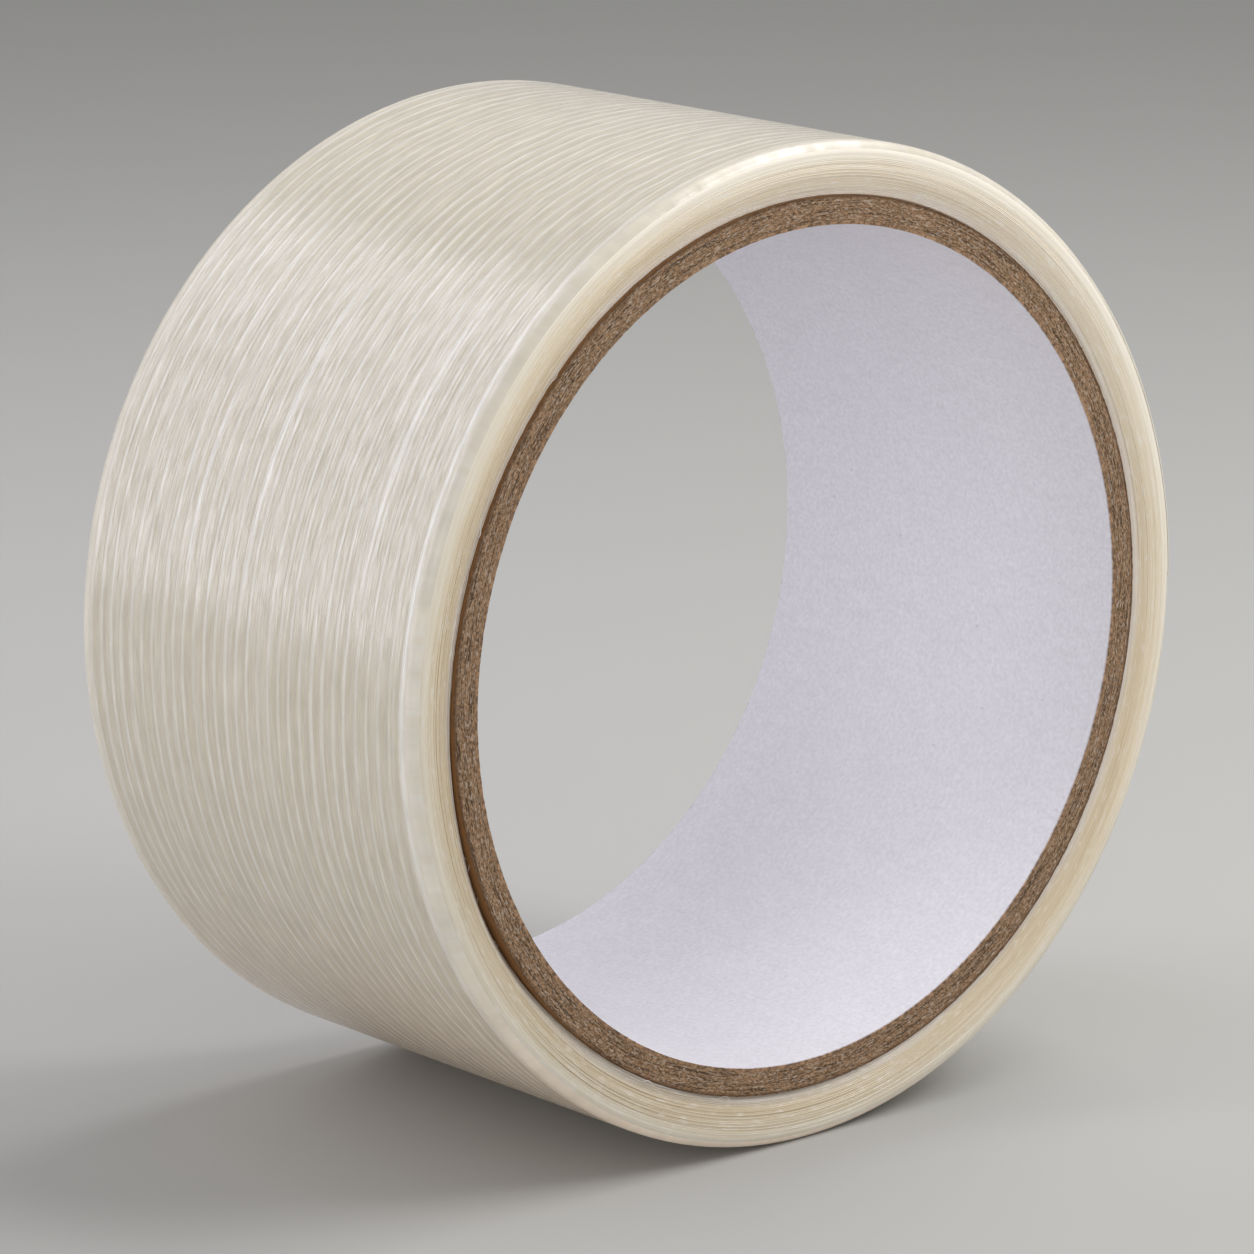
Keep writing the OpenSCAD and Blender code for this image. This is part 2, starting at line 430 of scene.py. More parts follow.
def wound_edges():
    """Slit edges of the wound turns: film, glass and adhesive cut together. They are cream and waxy, pale and
    frayed next to the core, tan where the adhesive shows, and white at the shoulder. Towards the top right
    they carry painted light: they are painted paler and whiter where more light falls and shines through the
    turns."""
    colours = bpy.context.scene.tape_roll_colours
    material, add = new_material("slit edges of wound tape")
    place = add("Attribute", attribute_name="place").outputs["Vector"]
    parts = add("SeparateXYZ", {"Vector": place}).outputs
    # Layers drift outwards and inwards by a few tenths of a millimetre every 15 mm or so
    drift_place = add("Mapping", {"Vector": place, "Scale": (1 / 15, 1 / 15, 1 / 1.5)})
    drift = add("TexNoise", {"Vector": drift_place, "Scale": 1.0, "Detail": 3.0})
    shift = add("Math", {0: drift, 1: 1.4, 2: parts["Z"]}, operation="MULTIPLY_ADD")
    share = add("MapRange", {"Value": shift, "From Min": CORE_R / MM + 0.7, "From Max": START_R / MM + 0.7})
    bands = add("ValToRGB", {"Fac": share})
    stops = bands.color_ramp.elements
    stops[0].color = rgba(colours.edge_frayed)
    stops[1].color = rgba(colours.margin)
    for position, colour in (
        (0.08, colours.edge_frayed),
        (0.22, colours.edge_line),
        (0.34, colours.edge_line),
        (0.6, colours.edge),
        (0.88, colours.margin),
    ):
        stops.new(position).color = rgba(colour)
    # Layer lines change every 0.18 mm outwards and about every 14 mm along the roll
    streaks = add("Mapping", {"Vector": place, "Scale": (1 / 14, 1 / 14, 1 / 0.18)})
    lines = add("TexNoise", {"Vector": streaks, "Scale": 1.0, "Detail": 3.0, "Roughness": 0.6})
    between = add("MapRange", {"Value": lines, "From Min": 0.3, "From Max": 0.7})
    # Between the edges the adhesive tints the lines
    tint = add("Mix", {
        "Factor": between, 6: (0.92, 0.87, 0.78, 1), 7: (1.06, 1.07, 1.1, 1),
    }, data_type="RGBA")
    # Painted light: the edges are painted paler and whiter towards the top right, where more light falls on
    # the roll and shines through the turns
    towards = add("VectorMath", {0: place, 1: (0.45, 0.9, 0)}, operation="DOT_PRODUCT")
    painted_top_right_light = add("MapRange", {
        "Value": towards, "From Min": -START_R / MM, "From Max": START_R / MM, "To Min": 0.85, "To Max": 1.13,
    })
    painted_top_right_whitening = add("MapRange", {
        "Value": towards, "From Min": 0.3 * START_R / MM, "From Max": START_R / MM, "To Max": 0.3,
    })
    pale = add("VectorMath", {0: tint, 1: painted_top_right_light}, operation="MULTIPLY")
    lined = add("VectorMath", {0: bands, 1: pale}, operation="MULTIPLY")
    # Frayed glass shows as white flecks about 1.5 mm long and 0.3 mm thick
    fleck_place = add("Mapping", {"Vector": place, "Scale": (1 / 1.5, 1 / 1.5, 1 / 0.3)})
    flecks = add("TexNoise", {"Vector": fleck_place, "Scale": 1.0, "Detail": 2.0})
    fleck_tone = add("MapRange", {"Value": flecks, "From Min": 0.55, "From Max": 0.75, "To Max": 0.4})
    # White flecks of frayed glass, plus the painted light towards the top right
    white = add("Math", {0: fleck_tone, 1: painted_top_right_whitening}, operation="ADD", use_clamp=True)
    colour = add("Mix", {"Factor": white, 6: lined, 7: rgba(colours.yarn)}, data_type="RGBA")
    bump = add("Bump", {"Height": lines, "Strength": 0.6, "Distance": 0.03 * MM})
    surface = add("BsdfPrincipled", {"Base Color": colour, "Normal": bump, "Roughness": 0.42, "IOR": 1.5})
    add("OutputMaterial", {"Surface": surface})
    return material


def kraft_board():
    """Kraft board of recycled fibre, sawn across. It is dull brown and speckled with pale and dark fibres,
    with a torn tan edge at the bore and a dark brown skin under the tape. The edge of the sawn end under the
    tape is darkened with painted shade of the gap between core and tape."""
    colours = bpy.context.scene.tape_roll_colours
    material, add = new_material("recycled kraft board")
    place = add("Attribute", attribute_name="place").outputs["Vector"]
    parts = add("SeparateXYZ", {"Vector": place}).outputs
    cut = add("Attribute", attribute_name="cut").outputs["Fac"]
    # Cut fibres are about 0.35 mm long and 0.14 mm thick
    speckle_place = add("Mapping", {"Vector": place, "Scale": (1 / 0.35, 1 / 0.35, 1 / 0.14)})
    speckle = add("TexNoise", {"Vector": speckle_place, "Scale": 1.0, "Detail": 4.0, "Roughness": 0.75})
    # Dark lines about 5 mm long and 0.16 mm thick lie along the ring, where sheets of fibre meet
    bundle_place = add("Mapping", {"Vector": place, "Scale": (1 / 5, 1 / 5, 1 / 0.16)})
    bundles = add("TexNoise", {"Vector": bundle_place, "Scale": 1.0, "Detail": 3.0})
    dark = add("MapRange", {
        "Value": bundles, "From Min": 0.3, "From Max": 0.5, "To Min": -0.2, "To Max": 0.0,
    })
    both = add("Math", {0: speckle, 1: dark}, operation="ADD")
    tone = add("MapRange", {
        "Value": both, "From Min": 0.36, "From Max": 0.64, "To Min": 0.3, "To Max": 1.7,
    })
    toned = add("VectorMath", {0: colours.kraft, 1: tone}, operation="MULTIPLY")
    # Pale fibres about 0.6 mm long and 0.13 mm thick stand out of the cut
    pale_place = add("Mapping", {
        "Vector": place, "Scale": (1 / 0.6, 1 / 0.6, 1 / 0.13), "Location": (5, 0, 0),
    })
    pale = add("TexNoise", {"Vector": pale_place, "Scale": 1.0, "Detail": 2.0, "Distortion": 0.6})
    pale_tone = add("MapRange", {"Value": pale, "From Min": 0.54, "From Max": 0.66, "To Max": 0.7})
    fibre = add("Mix", {"Factor": pale_tone, 6: toned, 7: rgba(colours.kraft_pale)}, data_type="RGBA")
    # The saw tears fresh fibre from the last 0.12 mm of the board at the bore
    torn = add("MapRange", {
        "Value": parts["Z"], "From Min": LINER_R / MM + 0.14, "From Max": LINER_R / MM + 0.02,
        "To Max": 0.55,
    })
    torn_in = add("Mix", {"Factor": torn, 6: fibre, 7: rgba(colours.kraft_torn)}, data_type="RGBA")
    # Painted shade of the gap between core and tape darkens the last 0.4 mm under the tape
    painted_gap_shade = add("MapRange", {
        "Value": parts["Z"], "From Min": CORE_R / MM - 0.4, "From Max": CORE_R / MM - 0.1, "To Max": 0.75,
    })
    sawn = add("Mix", {"Factor": painted_gap_shade, 6: torn_in, 7: rgba(colours.gap_shade_colour)}, data_type="RGBA")
    colour = add("Mix", {"Factor": cut, 6: rgba(colours.kraft_skin), 7: sawn}, data_type="RGBA")
    bump = add("Bump", {"Height": both, "Strength": 0.7, "Distance": 0.1 * MM})
    surface = add("BsdfPrincipled", {
        "Base Color": colour, "Normal": bump, "Roughness": 0.9, "Specular IOR Level": 0.25,
    })
    add("OutputMaterial", {"Surface": surface})
    return material


def liner_paper():
    """White-faced kraft liner: matt white paper with a faint grain, a few dark fibres and a brown
    cut edge."""
    colours = bpy.context.scene.tape_roll_colours
    material, add = new_material("white faced liner paper")
    place = add("TexCoord").outputs["Object"]
    cut = add("Attribute", attribute_name="cut").outputs["Fac"]
    # Formation of the sheet: clouds about 2 mm across, stretched along the sheet's slanted run
    slant = add("Mapping", {
        "Vector": place, "Rotation": (math.radians(35), 0, 0),
        "Scale": (1 / (2 * MM), 1 / (4 * MM), 1 / (1.2 * MM)),
    })
    clouds = add("TexNoise", {"Vector": slant, "Scale": 1.0, "Detail": 4.0})
    tone = add("MapRange", {
        "Value": clouds, "From Min": 0.3, "From Max": 0.7, "To Min": 0.98, "To Max": 1.012,
    })
    # Dark fibres about 0.5 mm long, some 3 to 6 mm apart
    fibre_place = add("Mapping", {
        "Vector": place, "Rotation": (math.radians(-30), 0, 0),
        "Scale": (1 / (3 * MM), 1 / (6 * MM), 1 / (3 * MM)),
    })
    fibres = add("TexVoronoi", {"Vector": fibre_place, "Scale": 1.0})
    fibre_tone = add("MapRange", {
        "Value": fibres, "From Min": 0.02, "From Max": 0.05, "To Min": 0.82, "To Max": 1.0,
    })
    both = add("Math", {0: tone, 1: fibre_tone}, operation="MULTIPLY")
    # Grain of the paper's face, about 0.4 mm
    grain = add("TexNoise", {"Vector": place, "Scale": 1 / (0.4 * MM), "Detail": 3.0})
    grain_tone = add("MapRange", {
        "Value": grain, "From Min": 0.3, "From Max": 0.7, "To Min": 0.93, "To Max": 1.06,
    })
    shade = add("Math", {0: both, 1: grain_tone}, operation="MULTIPLY")
    face = add("VectorMath", {0: colours.liner, 1: shade}, operation="MULTIPLY")
    torn_tone = add("MapRange", {
        "Value": grain, "From Min": 0.35, "From Max": 0.65, "To Min": 0.45, "To Max": 1.35,
    })
    torn = add("VectorMath", {0: colours.kraft_torn, 1: torn_tone}, operation="MULTIPLY")
    colour = add("Mix", {"Factor": cut, 6: face, 7: torn}, data_type="RGBA")
    bump = add("Bump", {"Height": grain, "Strength": 0.9, "Distance": 0.06 * MM})
    surface = add("BsdfPrincipled", {
        "Base Color": colour, "Normal": bump, "Roughness": 0.75, "Specular IOR Level": 0.3,
    })
    add("OutputMaterial", {"Surface": surface})
    return material


def floor_paper():
    """Seamless background paper, matt and pale, with a very faint grain."""
    colours = bpy.context.scene.tape_roll_colours
    material, add = new_material("seamless background paper")
    place = add("TexCoord").outputs["Object"]
    # Grain of about 30 mm
    grain = add("TexNoise", {"Vector": place, "Scale": 1 / (30 * MM), "Detail": 2.0})
    tone = add("MapRange", {"Value": grain, "To Min": 0.99, "To Max": 1.01})
    colour = add("VectorMath", {0: colours.floor, 1: tone}, operation="MULTIPLY")
    surface = add("BsdfPrincipled", {"Base Color": colour, "Roughness": 0.95, "Specular IOR Level": 0.1})
    add("OutputMaterial", {"Surface": surface})
    return material


def skin(name, points, material, ends_meet, place, cut=None):
    """Joins rows of points into closed skins and makes an object of them.

    points and place are arrays of (pieces, sections, points round a section, 3), and cut, where a
    piece has sawn faces, says how far each point belongs to one. Each section is a closed loop, and
    neighbouring sections are joined by quads. Where the ends don't meet, the first and the last
    section are closed by quads between the two halves of the loop.
    """
    pieces, sections, loop = points.shape[:3]
    index = np.arange(pieces * sections * loop).reshape(pieces, sections, loop)
    here = index if ends_meet else index[:, :-1]
    ahead = np.roll(index, -1, axis=1) if ends_meet else index[:, 1:]
    corners = [here, np.roll(here, -1, axis=2), np.roll(ahead, -1, axis=2), ahead]
    quads = np.stack(corners, axis=-1).reshape(-1, 4)
    if not ends_meet:
        out = index[:, [0, -1], : loop // 2]
        back = index[:, [0, -1], : loop // 2 - 1 : -1]
        caps = np.stack([out[..., :-1], out[..., 1:], back[..., 1:], back[..., :-1]], axis=-1)
        caps[:, 0] = caps[:, 0, :, ::-1]
        quads = np.concatenate([quads, caps.reshape(-1, 4)])
    flat = points.reshape(-1, 3)
    # A negative volume means that the faces point inwards
    a, b, c, d = (flat[quads[:, i]] for i in range(4))
    if (np.cross(a, b) * c).sum() + (np.cross(a, c) * d).sum() < 0:
        quads = quads[:, ::-1]
    mesh = bpy.data.meshes.new(name)
    mesh.from_pydata(flat, [], quads)
    marks = mesh.attributes.new("place", "FLOAT_VECTOR", "POINT")
    marks.data.foreach_set("vector", place.astype(np.float32).ravel())
    if cut is not None:
        sawn = mesh.attributes.new("cut", "FLOAT", "POINT")
        sawn.data.foreach_set("value", cut.astype(np.float32).ravel())
    mesh.shade_smooth()
    mesh.set_sharp_from_angle(angle=SHARP_ANGLE)
    mesh.materials.append(material)
    made = bpy.data.objects.new(name, mesh)
    bpy.context.scene.collection.objects.link(made)
    return made


def rough_ring(angles, columns, low, high, count, seed):
    """Roughness round the roll for a number of columns: sums of cosines of random whole orders
    between low and high with random phases, scaled to a spread of about one."""
    random = np.random.default_rng(seed)
    orders = random.integers(low, high + 1, (columns, count))
    phases = random.uniform(0, 2 * np.pi, (columns, count))
    waves = np.cos(angles[:, None, None] * orders + phases)
    return waves.sum(axis=2) * math.sqrt(2 / count)


def bump_round(angles, middle, half_width):
    """A smooth bump round the roll: a bell curve about a middle angle, in degrees."""
    away = np.angle(np.exp(1j * (angles - math.radians(middle))))
    return np.exp(-((away / math.radians(half_width)) ** 2))


def ring_place(angles, radius):
    """Pattern coordinates in mm for a ring: a circle of the roll's radius in the first two, and
    the distance from the axis in the third, so that no seam shows where the ring meets itself."""
    turn = np.broadcast_to(angles[:, None], radius.shape)
    return np.stack([np.cos(turn) * START_R, np.sin(turn) * START_R, radius], axis=-1) / MM


def core_tube(name, inner_r, outer_r, material, seed, torn_in, torn_out):
    """A paper tube: a rectangle of wall by length turned about the axis.

    Both ends are sawn: each point of an end lies behind the cut by a random roughness. Where the
    saw has torn the paper, the inner or outer edge of an end is pushed into the wall at random,
    less at the back, where the saw comes out.
    """
    sizes = bpy.context.scene.tape_roll_sizes
    angles = np.linspace(0, 2 * np.pi, CORE_SECTIONS, endpoint=False)
    # Points of an end, as shares of the wall, and which of them show sawn board
    share = np.array([0.0, 0.0, 0.06, 0.35, 0.65, 0.94, 1.0, 1.0])
    sawn = np.array([0.0, 1.0, 1.0, 1.0, 1.0, 1.0, 1.0, 0.0])
    sawn_back = np.array([0.0, 0.0, 1.0, 1.0, 1.0, 1.0, 0.0, 0.0])
    count = len(share)
    torn = np.zeros(count)
    torn[1] = torn_in
    torn[-2] = -torn_out
    radius = np.broadcast_to(inner_r + (outer_r - inner_r) * share, (len(angles), count))
    rough = np.abs(rough_ring(angles, 2 * count, 40, 340, 16, seed + 100))
    front = radius + torn * rough[:, :count]
    back = radius + 0.3 * torn * rough[:, count:]
    behind = np.abs(rough_ring(angles, 2 * count, 20, 340, 16, seed)) * sizes.cut_roughness
    # The first and the last point of an end lie on the walls, where the torn edge is over
    behind[:, [0, count - 1, count, -1]] = TORN_DEPTH
    along = np.concatenate([CORE_FRONT + behind[:, :count], CORE_BACK - behind[:, count:]], axis=1)
    across = np.concatenate([front, back[:, ::-1]], axis=1)
    cut = np.broadcast_to(np.concatenate([sawn, sawn_back]), along.shape)
    turn = angles[:, None]
    points = np.stack([across * np.cos(turn), along, across * np.sin(turn)], axis=-1)
    return skin(name, points[None], material, True, ring_place(angles, across)[None], cut[None])


def wound_point(angle, lift):
    """A point of the winding, in x and z. The angle runs backwards from 0 on the right, under the
    roll and over its top. Below, it turns about the roll's axis. Above, it turns about an axis half
    a tape's thickness to the right, at a radius that is half a thickness larger."""
    shift = np.where(angle < -np.pi, HALF_STEP, 0.0)
    radius = START_R + shift + lift
    return shift + radius * np.cos(angle), radius * np.sin(angle)


def side_profile(angles, seed, sags, stands_out):
    """One side of the wound turns, from the core to the shoulder, as radius and distance behind the
    crest. A parabola dishes the side towards the core. Each turn's edge lies behind it by its own
    slow waves, and sinks a little where it meets the next turn. The first turns on the core are
    frayed, and sag more in some places than in others."""
    sizes = bpy.context.scene.tape_roll_sizes
    crest_end = START_R - sizes.shoulder_r
    crest_r = crest_end - sizes.crest_w
    turns = int((crest_end - CORE_R) / TAPE_T)
    # Points of one turn's edge, as shares of its thickness, and the grooves at its ends
    share = np.array([0.04, 0.25, 0.75, 0.96])
    groove = np.tile(np.array([1.0, 0.0, 0.0, 1.0]) * 0.02 * MM, turns)
    number = np.repeat(np.arange(turns), len(share))
    radius = CORE_R + TAPE_T * (number + np.tile(share, turns))
    dish = sizes.side_dish * np.clip((crest_r - radius) / (crest_r - CORE_R), 0, 1) ** 2
    slow = rough_ring(angles, turns, 1, 7, 5, seed)[:, number]
    quick = rough_ring(angles, turns, 30, 140, 8, seed + 50)[:, number]
    near_core = np.exp(-number / 4.0)
    sag = sum(depth * bump_round(angles, middle, half) for depth, middle, half in sags) - stands_out
    fade = np.clip((crest_end - radius) / sizes.crest_w, 0.15, 1)
    wander = sizes.turn_wander * (1 + 1.2 * near_core) * fade * (0.5 + 0.25 * slow).clip(0, 2)
    frayed = 0.35 * sizes.turn_wander * np.exp(-number / 1.5) * np.abs(quick)
    behind = dish + groove + wander + frayed + sag[:, None] * near_core * MM
    return radius, np.maximum(behind, 0)


def yarn_draws(count):
    """Random draws for the yarns: how high each one's rib is, as a share, and how white it shows."""
    random = np.random.default_rng(YARN_SEED)
    strength = random.uniform(0.4, 0.55, count)
    whiteness = random.uniform(0.34, 0.46, count)
    return strength, whiteness


def across_strip(sizes):
    """Stations across the tape: the angle round a shoulder, the place on the flat, the height share
    of a rib there and how white its yarn shows. Each rib is a row of straight slopes over its yarn,
    from its foot to its crown, and its whiteness is the square of that profile."""
    droop = np.linspace(sizes.edge_droop, 0, 9)[:-1]
    flat_half = HALF_W - sizes.shoulder_r
    pitch = 2 * flat_half / sizes.yarn_count
    base = sizes.yarn_base_w / 2 / pitch
    crown = sizes.yarn_crown_w / 2 / pitch
    slope = (base + crown) / 2
    offsets = np.array([-0.5, -0.35, -base, -slope, -crown, 0, crown, slope, base, 0.35])
    heights = np.array([0, 0, 0.04, 0.5, 0.92, 1, 0.92, 0.5, 0.04, 0])
    number = np.repeat(np.arange(sizes.yarn_count), len(offsets))
    strength, whiteness = yarn_draws(sizes.yarn_count)
    profile = np.tile(heights, sizes.yarn_count)
    flat = (number + 0.5 + np.tile(offsets, sizes.yarn_count)) * pitch - flat_half
    ends = np.full(len(droop), flat_half)
    none = np.zeros(len(droop))
    bend = np.concatenate([-droop, np.zeros(len(flat) + 1), droop[::-1]])
    place = np.concatenate([-ends, flat, [flat_half], ends])
    rib = np.concatenate([none, profile * strength[number], [0.0], none])
    white = np.concatenate([none, profile**2 * whiteness[number], [0.0], none])
    return bend, place, rib, white


def drifted(place, turn):
    """How far a yarn at a place across the tape lies aside: a random offset for each yarn, slow waves
    round the roll, quicker ones over its top, and three places where the whole tape was wound askew.
    It fades to nothing at the edges of the tape."""
    sizes = bpy.context.scene.tape_roll_sizes
    flat_half = HALF_W - sizes.shoulder_r
    inside = np.clip((flat_half - np.abs(place)) / EDGE_FADE, 0, 1)
    middles = np.linspace(-flat_half, flat_half, sizes.yarn_count + 1)
    offsets = np.random.default_rng(DRIFT_SEED).normal(0, 0.45, sizes.yarn_count + 1)
    own = np.interp(place, middles, offsets)
    slow = np.sin(3 * turn + place / (3.1 * MM)) + 0.7 * np.sin(7 * turn + 2 + place / (1.7 * MM))
    quick = np.sin(37 * turn + place / (2.3 * MM)) + np.sin(61 * turn + 1 + place / (4.1 * MM))
    waves = 0.15 * slow + 0.45 * quick * bump_round(turn, 100, 25)
    towards_front = 0.65 - 0.35 * place / flat_half
    lower_left = 1.2 * bump_round(turn, 203, 16) - 0.5 * bump_round(turn, 234, 12)
    askew = lower_left * towards_front - 1.1 * bump_round(turn, 92, 22)
    return inside * (sizes.yarn_wander * (own + waves) + askew * MM)


def strip_points(angles, bend, place, lift, rib, raised):
    """Points of one face of the tape: wound round the roll at a lift above the turn below, bent
    round the shoulders at both edges, with its ribs drifting sideways."""
    sizes = bpy.context.scene.tape_roll_sizes
    turn = angles[:, None]
    across = place + (sizes.shoulder_r + lift) * np.sin(bend) + drifted(place, turn)
    out = (sizes.shoulder_r + lift) * np.cos(bend) - sizes.shoulder_r + rib
    x, z = wound_point(turn, out + raised)
    return np.stack([x, np.broadcast_to(across, x.shape), z], axis=-1)


def ridges(angles, place):
    """Ridges where the film stands off its yarns: bell curves across the tape that swell and fade
    along a stretch of it, as a share of a rib's height."""
    turn = angles[:, None]
    out = np.zeros((len(angles), len(place)))
    for middle, start, end in RIDGES:
        run = np.clip((np.degrees(turn) + 360 - start) / (end - start), 0, 1)
        across = np.exp(-(((place / MM - middle) / RIDGE_HALF_W) ** 2))
        out += np.sin(np.pi * run) ** 0.5 * across
    return out


def strip(name, angles, material, low, high, raised, ribbed=True, hidden=False, started=0.0):
    """A layer of the tape between two lifts above the turn below, closed at its edges and ends. A
    hidden layer has few points across the flat. Started is the angle from which the pattern is
    measured along the tape."""
    sizes = bpy.context.scene.tape_roll_sizes
    bend, place, rib, white = across_strip(sizes)
    if hidden:
        first = np.diff(np.floor(place / HIDDEN_STEP), prepend=-np.inf) != 0
        keep = first | (bend != 0)
        bend, place, rib, white = bend[keep], place[keep], rib[keep], white[keep]
    # The film thins out towards its pressed edges
    thin = 1 - 0.8 * np.clip(np.abs(bend) / sizes.edge_droop, 0, 1) ** 2
    swell = ridges(angles, place) * ribbed
    height = np.maximum(rib, 0.75 * swell) * YARN_H * ribbed
    under = strip_points(angles, bend, place, low * thin, height, raised)
    over = strip_points(angles, bend, place, high * thin, height, raised)
    points = np.concatenate([over, under[:, ::-1]], axis=1)
    station = np.concatenate([place, place[::-1]]) / MM
    # Along the ridges the colour is painted white up to the yarn's colour: a painted highlight on their
    # crests
    shown = np.maximum(white, swell)
    crown = np.concatenate([shown, shown[:, ::-1]], axis=1)
    length = (started - angles[:, None]) * START_R / MM
    shape = points.shape[:2]
    marks = np.stack([np.broadcast_to(a, shape) for a in (length, station, crown)], axis=-1)
    return skin(name, points[None], material, False, marks[None])


def yarns(name, angles, material, raised):
    """The glass yarns of a stretch of tape: a low D section for each yarn, carried along the winding
    between the adhesive and the film, with the same sideways drift as the film's ribs."""
    sizes = bpy.context.scene.tape_roll_sizes
    flat_half = HALF_W - sizes.shoulder_r
    pitch = 2 * flat_half / sizes.yarn_count
    middle = (np.arange(sizes.yarn_count) + 0.5) * pitch - flat_half
    # A yarn is a little narrower than the foot of its rib and about half as high as the rib
    half = np.array([-1.0, -0.5, 0.5, 1.0]) * sizes.yarn_base_w / 2 * 0.94
    height = np.array([0.12, 0.88, 0.88, 0.12]) * 0.5
    strength = yarn_draws(sizes.yarn_count)[0]
    rows = []
    for place, strong in zip(middle, strength):
        station = place + np.concatenate([half, half[::-1]])
        lift = ADHESIVE_T + YARN_H * np.concatenate([half * 0 + 0.02, height[::-1] * strong])
        none = station * 0
        rows.append(strip_points(angles, none, station, lift, none, raised))
    points = np.stack(rows)
    shape = points.shape[:3]
    length = np.broadcast_to(-angles[:, None] * START_R / MM, shape)
    marks = np.stack([length, points[..., 1] / MM, np.ones(shape)], axis=-1)
    return skin(name, points, material, False, marks)


class TAPEROLL_OT_core(bpy.types.Operator):
    """Make the paperboard core: the white liner and four plies of kraft board"""

    bl_idname = "taperoll.core"
    bl_label = "Core"

    def execute(self, context):
        liner = core_tube("liner", BORE_R, LINER_R, liner_paper(), LINER_SEED, LINER_TORN, 0)
        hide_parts("core_liner")
        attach(liner, "roll")
        board = kraft_board()
        for number, name in enumerate(PLY_NAMES):
            inner_r, outer_r = PLY_RADII[number : number + 2]
            torn_out = PLY_TORN if outer_r == CORE_R else 0
            ply = core_tube(f"ply_{number + 1}", inner_r, outer_r, board, PLY_SEED + number, 0, torn_out)
            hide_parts(name)
            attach(ply, "roll")
        return {"FINISHED"}


class TAPEROLL_OT_inner_turns(bpy.types.Operator):
    """Make the wound turns under the last one, with the edge of every turn on both sides"""

    bl_idname = "taperoll.inner_turns"
    bl_label = "Inner turns"

    def execute(self, context):
        # A section runs out along the front side, over both shoulders and in along the back
        sizes = context.scene.tape_roll_sizes
        angles = -(np.arange(INNER_SECTIONS) + 0.5) / INNER_SECTIONS * 2 * np.pi
        turn = angles[:, None]
        bend = np.linspace(np.pi / 2, 0, 13)
        # Under the free end the last of these turns is a piece of its own, but for its edges
        covered = np.where(turn < COVERED_FROM, TAPE_T, 0)
        left_out = covered * np.clip(1 - bend / sizes.edge_droop, 0, 1)
        bend_x, bend_z = wound_point(turn, sizes.shoulder_r * np.cos(bend) - sizes.shoulder_r - left_out)
        bend_y = HALF_W - sizes.shoulder_r + sizes.shoulder_r * np.sin(bend)
        bend_y = np.broadcast_to(bend_y, bend_x.shape)
        sides = []
        for side, seed, sags, stands_out in (
            (-1, FRONT_SEED, FRONT_SAGS, FRONT_STANDS_OUT),
            (1, BACK_SEED, BACK_SAGS, 0),
        ):
            radius, behind = side_profile(angles, seed, sags, stands_out)
            x = np.concatenate([radius * np.cos(turn), bend_x], axis=1)
            y = np.concatenate([HALF_W - behind, bend_y], axis=1) * side
            z = np.concatenate([radius * np.sin(turn), bend_z], axis=1)
            sides.append(np.stack([x, y, z], axis=-1))
        points = np.concatenate([sides[0], sides[1][:, ::-1]], axis=1)
        place = ring_place(angles, np.hypot(points[..., 0], points[..., 2]))
        turns = skin("inner_turns_wound", points[None], wound_edges(), True, place[None])
        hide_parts("inner_turns")
        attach(turns, "roll")
        return {"FINISHED"}


class TAPEROLL_OT_outer_turn(bpy.types.Operator):
    """Make the last turn of the tape: adhesive, glass yarns and the ribbed film over them"""

    bl_idname = "taperoll.outer_turn"
    bl_label = "Outer turn"

    def execute(self, context):
        angles = np.linspace(0, PEEL_TURN - 2 * np.pi, OUTER_SECTIONS)
        film = strip("outer_turn_film_ribbed", angles, satin_film(), ADHESIVE_T, FILM_TOP, 0)
        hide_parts("outer_turn_film")
        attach(film, "roll")
        glass = yarns("outer_turn_glass", angles, glass_yarn(), 0)
        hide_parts("outer_turn_yarns")
        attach(glass, "roll")
        amber = tacky_adhesive()
        coat = strip("outer_turn_coat", angles, amber, 0, ADHESIVE_T, 0, ribbed=False, hidden=True)
        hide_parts("outer_turn_adhesive")
        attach(coat, "roll")
        return {"FINISHED"}


class TAPEROLL_OT_covered_stretch(bpy.types.Operator):
    """Make the stretch of the turn below that the free end covers"""

    bl_idname = "taperoll.covered_stretch"
    bl_label = "Covered stretch"

    def execute(self, context):
        end = -2 * np.pi
        angles = np.linspace(COVERED_FROM, end, FREE_SECTIONS)
        film = strip("covered_film_ribbed", angles, satin_film(), 0, FILM_TOP, -TAPE_T, started=end)
        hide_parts("inner_turns")
        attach(film, "roll")
        return {"FINISHED"}


class TAPEROLL_OT_free_end(bpy.types.Operator):
    """Make the free end of the tape, which bends away from the roll at its root"""

    bl_idname = "taperoll.free_end"
    bl_label = "Free end"

    def execute(self, context):
        angles = np.linspace(PEEL_TURN - 2 * np.pi, -2 * np.pi, FREE_SECTIONS)
        rise = np.clip((angles[0] - angles[:, None]) * START_R / LIFT_RUN, 0, 1)
        raised = FREE_LIFT * rise * rise * (3 - 2 * rise)
        film = strip("free_end_film_ribbed", angles, satin_film(), ADHESIVE_T, FILM_TOP, raised)
        glass = yarns("free_end_glass", angles, glass_yarn(), raised)
        coat = strip("free_end_coat", angles, tacky_adhesive(), 0, ADHESIVE_T, raised, ribbed=False)
        # The imported parts that these pieces stand for are hidden, and the transform of each piece is baked
        # into its mesh
        for piece, stood_for, slot in (
            (film, "free_end_film", "backing_film"),
            (glass, "free_end_yarns", "glass_yarn"),
            (coat, "free_end_adhesive", "adhesive"),
        ):
            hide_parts(stood_for)
            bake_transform(piece)
        return {"FINISHED"}


